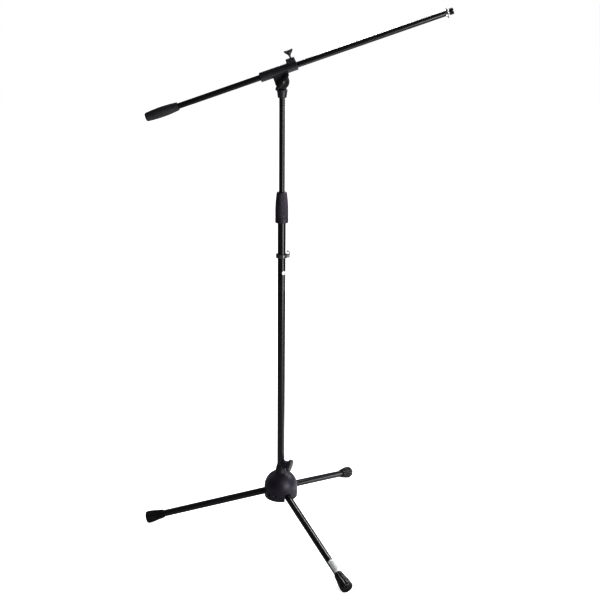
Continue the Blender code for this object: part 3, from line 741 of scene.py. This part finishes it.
def cable_clip():
    """Ring on the lower tube with a springy hook, whose light grey is a painted highlight on the
    ring's dark plastic.
    """
    low, _, _ = span("cable_clip", MAST)
    top, ring_r, bore = 788.8, 14.7, 10.4
    profile = [(ring_r, top), (ring_r, low), (bore, low), (bore, top)]
    clip = lathe("cable_clip_body", eased(profile, 0.7), MAST, CLIP, 96)
    middle = (15.8, 791.6)                     # of the hook's curl, across and up
    hook = [(12.6, low + 0.4), (19.0, low + 0.4), (21.5, low + 1.4)]
    hook += arc(middle, 5.9, 0, 90, 14) + [(13.0, 797.9), (12.6, 796.5), (13.0, 795.2)]
    hook += arc(middle, 3.6, 90, 0, 12) + [(19.4, top + 0.1), (12.6, top + 0.1)]
    side_on = turned_frame(MAST.translation, (0, -1, 0), (1, 0, 0))
    show(clip, "cable_clip", "clip", "cable_clip")
    # The light grey hook is a painted highlight; the hook is the same dark plastic as the ring.
    show(prism("cable_clip_hook", hook, -4.5, 4.5, side_on, HOOK_PAINTED_HIGHLIGHT, 0.5), "cable_clip", "clip")


def upper_mast():
    start, end, radius = span("upper_tube", MAST)
    tube = lathe("upper_tube_skin", pipe(radius, TUBE_WALL, start, end), MAST, POWDER, 80)
    show(tube, "upper_mast", "upper_tube", "upper_tube")


# ---------------------------------------------------------------- head

def top_socket():
    low, _, radius = span("top_socket", MAST)
    top, bore, bore_top = 1209.9, 7.3, 1199.5
    profile = [(0, top), (11.6, top), (12.6, top - 0.8), (radius, top - 3.1), (12.6, top - 5.9),
               (11.8, low + 10), (11.2, low + 4), (10.4, low), (bore, low), (bore, bore_top),
               (0, bore_top)]
    socket = lathe("top_socket_casting", eased(profile, 0.8), MAST, CAST, 96)
    foot = top - PIVOT.z / MM - 2.5
    outline = [(-10.8, foot), (10.8, foot)] + arc((0, 0), TONGUE_R, -35, 215, 40)
    tongue = prism("tongue", outline, -TONGUE_HALF, TONGUE_HALF, HEAD, None, 0.8)
    combine(socket, [tongue], "UNION")
    drilled(socket, HEAD, BOLT_R, -20, 20, 48)
    show(shaded(socket), "upper_mast", "head_casting", "top_socket")


def pivot_wing_nut():
    back, front, _ = span("pivot_wing_nut", HEAD)
    low, high, radius = span("pivot_bolt", HEAD)
    outline = wing_outline(7.0, 18.4, 16, 52.0)
    wings = prism("pivot_wing_nut_body", outline, 13.7, 19.1, HEAD, GLOSS, 1.8)
    hub_r, dome_r = 7.8, 11.0
    edge = degrees(asin(hub_r / dome_r))
    dome = arc((0, front - dome_r), dome_r, 90 - edge, 90, 12)
    hub = lathe("hub", [(0, back), (hub_r, back)] + dome, HEAD, None, 64)
    combine(wings, [hub], "UNION")
    drilled(wings, HEAD, BOLT_R, 5, high + CLEARANCE, 48)
    show(moulded(wings, 0.4, 3), "pivot_wing", "wing_nut", "pivot_wing_nut")
    seat, thread_start = -EAR_OUTER - CLEARANCE, 10.5
    profile = [(0, high)] + threaded_run(BOLT_R, high, thread_start, 1.0) + [(BOLT_R, seat)]
    profile += [(radius, seat), (radius, seat - 2.2), (radius - 1.4, low), (0, low)]
    bolt = lathe("pivot_bolt_thread", profile, HEAD, DARK_STEEL, 48,
                 vee_thread(1.0, 0.45, BOLT_R, thread_start, high))
    show(bolt, "upper_mast", "pivot_bolt", "pivot_bolt")


def clamp_profile():
    """Side view of the clamp's ears in the boom's own directions, from the pivot."""
    top = BOOM_RISE - 1.3
    ear = arc((0, 0), EAR_R, 180, 360, 48)
    return ear + [(EAR_R, 7), (18.8, 9.6), (20.8, 13), (23.3, 17), (23.3, top), (-EAR_R, top)]


def boom_clamp():
    liner_start, liner_end, liner_r = span("boom_liner", BOOM)
    start, end, chamfer = liner_start - 0.5, liner_end + 0.5, 1
    profile = [(0, end), (SLEEVE_R - chamfer, end), (SLEEVE_R, end - chamfer),
               (SLEEVE_R, start + chamfer), (SLEEVE_R - chamfer, start), (0, start)]
    clamp = lathe("boom_clamp_casting", profile, BOOM, CAST, 96)
    along = BOOM.to_3x3() @ UP
    side_on = turned_frame(PIVOT, (0, -1, 0), along)
    shapes = [
        prism("cheek_front", clamp_profile(), EAR_INNER, EAR_OUTER, side_on, None, 1.0),
        prism("cheek_back", clamp_profile(), -EAR_OUTER, -EAR_INNER, side_on, None, 1.0),
    ]
    top = BOOM_RISE + 21.2
    block = [(24.2, BOOM_RISE + 2), (47.9, BOOM_RISE + 2), (46.7, top), (24.8, top)]
    shapes.append(prism("block", block, -8, 8, side_on, None, 1.2))
    combine(clamp, shapes, "UNION")
    cutters = [
        lathe("bore", solid_rod(liner_r + CLEARANCE, start - 5, end + 5), BOOM, None, 96),
        lathe("screw_hole", solid_rod(CLAMP_SCREW_R + CLEARANCE, -30, 20), CLAMP_SCREW, None, 32),
        lathe("bolt_hole", solid_rod(BOLT_R + CLEARANCE, -20, 20), side_on, None, 32),
    ]
    combine(clamp, cutters, "DIFFERENCE")
    show(moulded(clamp, 0.55, 2), "boom_clamp", "clamp_casting", "boom_clamp")


def clamp_wing():
    low, high, _ = span("clamp_wing", CLAMP_SCREW)
    half = [(3.0, low), (3.7, low + 1.8), (5.2, low + 3.6), (7.4, low + 5.6), (9.4, low + 7.8),
            (10.9, high - 2.8), (11.4, high - 1.6), (11.2, high - 0.6), (10.2, high),
            (6.5, high - 0.6), (3.0, high - 1.0)]
    outline = half + [(-x, z) for x, z in reversed(half)]
    across = turned_frame(CLAMP_SCREW.translation, (0, -1, 0), JOINTS["boom_roll"]["axis"])
    wing = prism("clamp_wing_body", outline, -2.3, 2.3, across, KNOB, 0.9)
    hub_top = low + 9.0
    hub = lathe("hub", eased([(0, low), (4.0, low), (3.9, hub_top), (0, hub_top)], 0.8),
                CLAMP_SCREW, None, 64)
    combine(wing, [hub], "UNION")
    screw_end = span("clamp_screw", CLAMP_SCREW)[1]
    drilled(wing, CLAMP_SCREW, CLAMP_SCREW_R, low - 5, screw_end + CLEARANCE)
    show(moulded(wing, 0.4, 2), "clamp_wing", "clamp_wing", "clamp_wing")
    thread = screw("clamp_screw_thread", "clamp_screw", CLAMP_SCREW, DARK_STEEL, 0.45)
    show(thread, "clamp_wing", "screws", "clamp_screw")


# ---------------------------------------------------------------- boom

def boom_tube():
    start, end, tube_r = span("boom_tube", BOOM)
    tube = lathe("boom_tube_skin", pipe(tube_r, TUBE_WALL, start, end), BOOM, POWDER, 80)
    show(tube, "boom", "boom_tube", "boom_tube")
    start, end, liner_r = span("boom_liner", BOOM)
    wall = liner_r - tube_r - CLEARANCE
    liner = lathe("boom_liner_ring", pipe(liner_r, wall, start, end), BOOM, NYLON, 80)
    show(liner, "boom_liner", "liner", "boom_liner")


def boom_end():
    _, tube_end, _ = span("boom_tube", BOOM)
    ring_start, ring_end, ring_r = span("lock_ring", BOOM)
    low, high, _ = span("boom_end_plug", BOOM)
    stud, stud_pitch, shoulder = 4.75, 1.6, tube_end + CLEARANCE
    bore = stud + CLEARANCE
    profile = [(0, high), (stud - 0.5, high)]
    profile += threaded_run(stud, high - 0.4, ring_start - CLEARANCE, stud_pitch)
    profile += [(8.4, ring_start - CLEARANCE), (8.6, ring_start - 0.8), (7.3, shoulder)]
    profile += [(5.5, shoulder), (5.5, low), (0, low)]
    plug = lathe("boom_stud", profile, BOOM, CHROME, 64,
                 vee_thread(stud_pitch, 0.5, stud, ring_end, high))
    show(plug, "boom", "end_plug", "boom_end_plug")

    def milled(angle, radius, height):
        return radius - 0.3 * (0.5 + 0.5 * cos(48 * angle)) if radius > ring_r - 0.2 else radius

    profile = [(bore, ring_end), (ring_r, ring_end), (ring_r, ring_start), (bore, ring_start)]
    ring = lathe("lock_ring_milled", eased(profile, 0.4), BOOM, RING_STEEL, 192, milled)
    show(ring, "lock_ring", "lock_ring", "lock_ring")

    start, end, radius = span("thread_adapter", BOOM)
    pitch = 0.94
    run = threaded_run(radius, start + 0.5, end - 0.5, pitch)
    profile = [(radius - 0.5, start)] + run + [(radius - 0.5, end), (bore, end), (bore, start)]
    adapter = lathe("thread_adapter_cut", profile, BOOM, THREAD, 96,
                    vee_thread(pitch, 0.45, radius, start + 0.5, end - 0.5))
    slot = [(-1.1, -12), (1.1, -12), (1.1, 12), (-1.1, 12)]
    combine(adapter, [prism("slot", slot, end - 2.2, end + 5, BOOM)], "DIFFERENCE")
    show(shaded(adapter, 40), "adapter", "adapter", "thread_adapter")


def knurl(start, end, depth, core_r):
    """Fine diamond pattern that fades at the sleeve's ends."""
    def shape(angle, radius, height):
        if radius < core_r or not start < height < end:
            return radius
        fade = min(1, (height - start) / 3, (end - height) / 3)
        wave = sin(22 * angle + height * 1.55) * sin(22 * angle - height * 1.55)
        return radius - depth * fade * (0.5 - 0.5 * wave)
    return shape


def counterweight():
    low, high, _ = span("counterweight_grip", BOOM)
    core_low, _, core_r = span("counterweight_core", BOOM)
    count = 84
    swell = []
    for i in range(count + 1):
        t = i / count
        radius = 10.05 + 0.9 * t + 2.5 * sin(pi * t) ** 0.9
        swell.append((radius, high + (low + 4.5 - high) * t))
    nose = [(10.9, low + 3.2), (10.2, low + 1.8), (9.2, low + 0.7), (7.8, low), (0, low)]
    fit, bottom = core_r + CLEARANCE, core_low - CLEARANCE
    inside = [(0, bottom), (fit, bottom), (fit, high)]
    sleeve = lathe("counterweight_sleeve", inside + swell + nose, BOOM, WEIGHT, 176,
                   knurl(low + 5, high - 0.5, 0.42, core_r + 0.5))
    show(sleeve, "boom", "weight_grip", "counterweight_grip")


# ---------------------------------------------------------------- the CAD's own nodes

def finish_frame_nodes():
    """Finishes for the CAD nodes that stay in view."""
    finishes = {
        "hub_bottom_cover": DOME, "tube_plug": NYLON, "clutch_collet": NYLON, "guide_bush": NYLON,
        "pivot_washer_front": NYLON, "pivot_washer_back": NYLON, "clamp_pad": BRASS,
        "counterweight_core": IRON,
    }
    for number in (1, 2, 3):
        finishes[f"cover_screw_{number}"] = STEEL
    for side in SIDES:
        finishes[f"leg_pin_{side}"] = STEEL
        finishes[f"leg_knuckle_{side}"] = CAST
    for node, mat in finishes.items():
        for material_slot in frame["nodes"][node].material_slots:
            material_slot.material = mat


# ---------------------------------------------------------------- studio

def studio_floor():
    """White sweep: almost shadowless for the camera, a dim grey for what reflects it."""
    bm = bmesh.new()
    bmesh.ops.create_grid(bm, x_segments=1, y_segments=1, size=12)
    made = Nodes("studio_floor", (0.55, 0.55, 0.55), 0.8)
    tree = made.tree
    distance = made.add("ShaderNodeVectorMath", operation="LENGTH")
    made.link(made.coords, distance.inputs[0])
    glow = made.add("ShaderNodeEmission")
    made.link(made.ranged(distance.outputs["Value"], 0.86, 1.0, 0.5, 1.4), glow.inputs["Strength"])
    lit = made.add("ShaderNodeAddShader")
    made.link(glow.outputs["Emission"], lit.inputs[0])
    made.link(made.shader.outputs["BSDF"], lit.inputs[1])
    dim = made.add("ShaderNodeBsdfDiffuse")
    dim.inputs["Color"].default_value = (0.5, 0.5, 0.5, 1)
    path = made.add("ShaderNodeLightPath")
    mix = made.add("ShaderNodeMixShader")
    made.link(path.outputs["Is Camera Ray"], mix.inputs["Fac"])
    made.link(dim.outputs["BSDF"], mix.inputs[1])
    made.link(lit.outputs["Shader"], mix.inputs[2])
    made.link(mix.outputs["Shader"], tree.nodes["Material Output"].inputs["Surface"])
    new_object("studio_floor", bm, Matrix.Identity(4), made.mat)


def softbox(name, place, target, size, power):
    light = bpy.data.lights.new(name, "AREA")
    light.shape = "RECTANGLE"
    light.size, light.size_y = size
    light.energy = power
    obj = bpy.data.objects.new(name, light)
    obj.visible_camera = False
    bpy.context.scene.collection.objects.link(obj)
    obj.location = place
    obj.rotation_euler = (Vector(target) - Vector(place)).to_track_quat("-Z", "Y").to_euler()


def studio_world():
    """White for the camera, a softer grey for what the object reflects."""
    world = bpy.data.worlds.new("studio")
    world.use_nodes = True
    tree = world.node_tree
    background = tree.nodes["Background"]
    background.inputs["Color"].default_value = (0.95, 0.95, 1.0, 1)
    background.inputs["Strength"].default_value = 0.19
    seen = tree.nodes.new("ShaderNodeBackground")
    seen.inputs["Color"].default_value = (1, 1, 1, 1)
    seen.inputs["Strength"].default_value = 1.0
    mix = tree.nodes.new("ShaderNodeMixShader")
    path = tree.nodes.new("ShaderNodeLightPath")
    tree.links.new(path.outputs["Is Camera Ray"], mix.inputs["Fac"])
    tree.links.new(background.outputs["Background"], mix.inputs[1])
    tree.links.new(seen.outputs["Background"], mix.inputs[2])
    tree.links.new(mix.outputs["Shader"], tree.nodes["World Output"].inputs["Surface"])
    bpy.context.scene.world = world


def camera():
    """Camera in front of the stand, a little above the pivot, looking down at it."""
    distance, height = 2.5711, 1.4222
    yaw, pitch, roll = radians(1.118), radians(16.451), radians(0.512)
    forward = Vector((sin(yaw) * cos(pitch), cos(yaw) * cos(pitch), -sin(pitch)))
    level = forward.cross(UP).normalized()
    lift = level.cross(forward)
    right = level * cos(roll) + lift * sin(roll)
    up = lift * cos(roll) - level * sin(roll)
    data = bpy.data.cameras.new("camera")
    data.sensor_width = 36.0
    data.lens = 61.03
    data.shift_x, data.shift_y = -0.5 / 600, 0.5 / 600
    obj = bpy.data.objects.new("camera", data)
    bpy.context.scene.collection.objects.link(obj)
    rotation = Matrix((right, up, -forward)).transposed().to_4x4()
    obj.matrix_world = Matrix.Translation((PIVOT.x, PIVOT.y - distance, height)) @ rotation
    bpy.context.scene.camera = obj


hub_dome()
leg_tubes()
leg_boots()
leg_label()
leg_print()
lock_knob()
lower_mast()
mast_print()
clutch()
cable_clip()
upper_mast()
top_socket()
pivot_wing_nut()
boom_clamp()
clamp_wing()
boom_tube()
boom_end()
counterweight()
finish_frame_nodes()

studio_floor()
studio_world()
softbox("key_right", (1.6, -1.6, 0.9), (0, 0, 0.7), (1.1, 2.0), 78)
softbox("rim_right", (1.9, 1.35, 1.75), (0, 0, 0.9), (1.2, 1.3), 34)
softbox("rim_left", (-1.9, 1.6, 1.2), (0, 0, 0.7), (1.2, 2.2), 8)
softbox("top_back", (0.62, 1.17, 2.7), (0.1, -0.25, 0.1), (0.8, 0.8), 50)
softbox("boot_kick", (0.04, 1.67, 2.25), (0.16, -0.34, 0.03), (0.5, 0.5), 22)
softbox("floor_front", (0.72, -0.95, 0.01), (0.72, -0.95, 1.0), (0.8, 0.9), 5)
softbox("floor_side", (0.42, 0.15, 0.01), (0.42, 0.15, 1.0), (0.4, 0.8), 2.6)
camera()
bpy.context.scene.view_settings.view_transform = "Standard"
bpy.context.scene.view_settings.gamma = 0.7
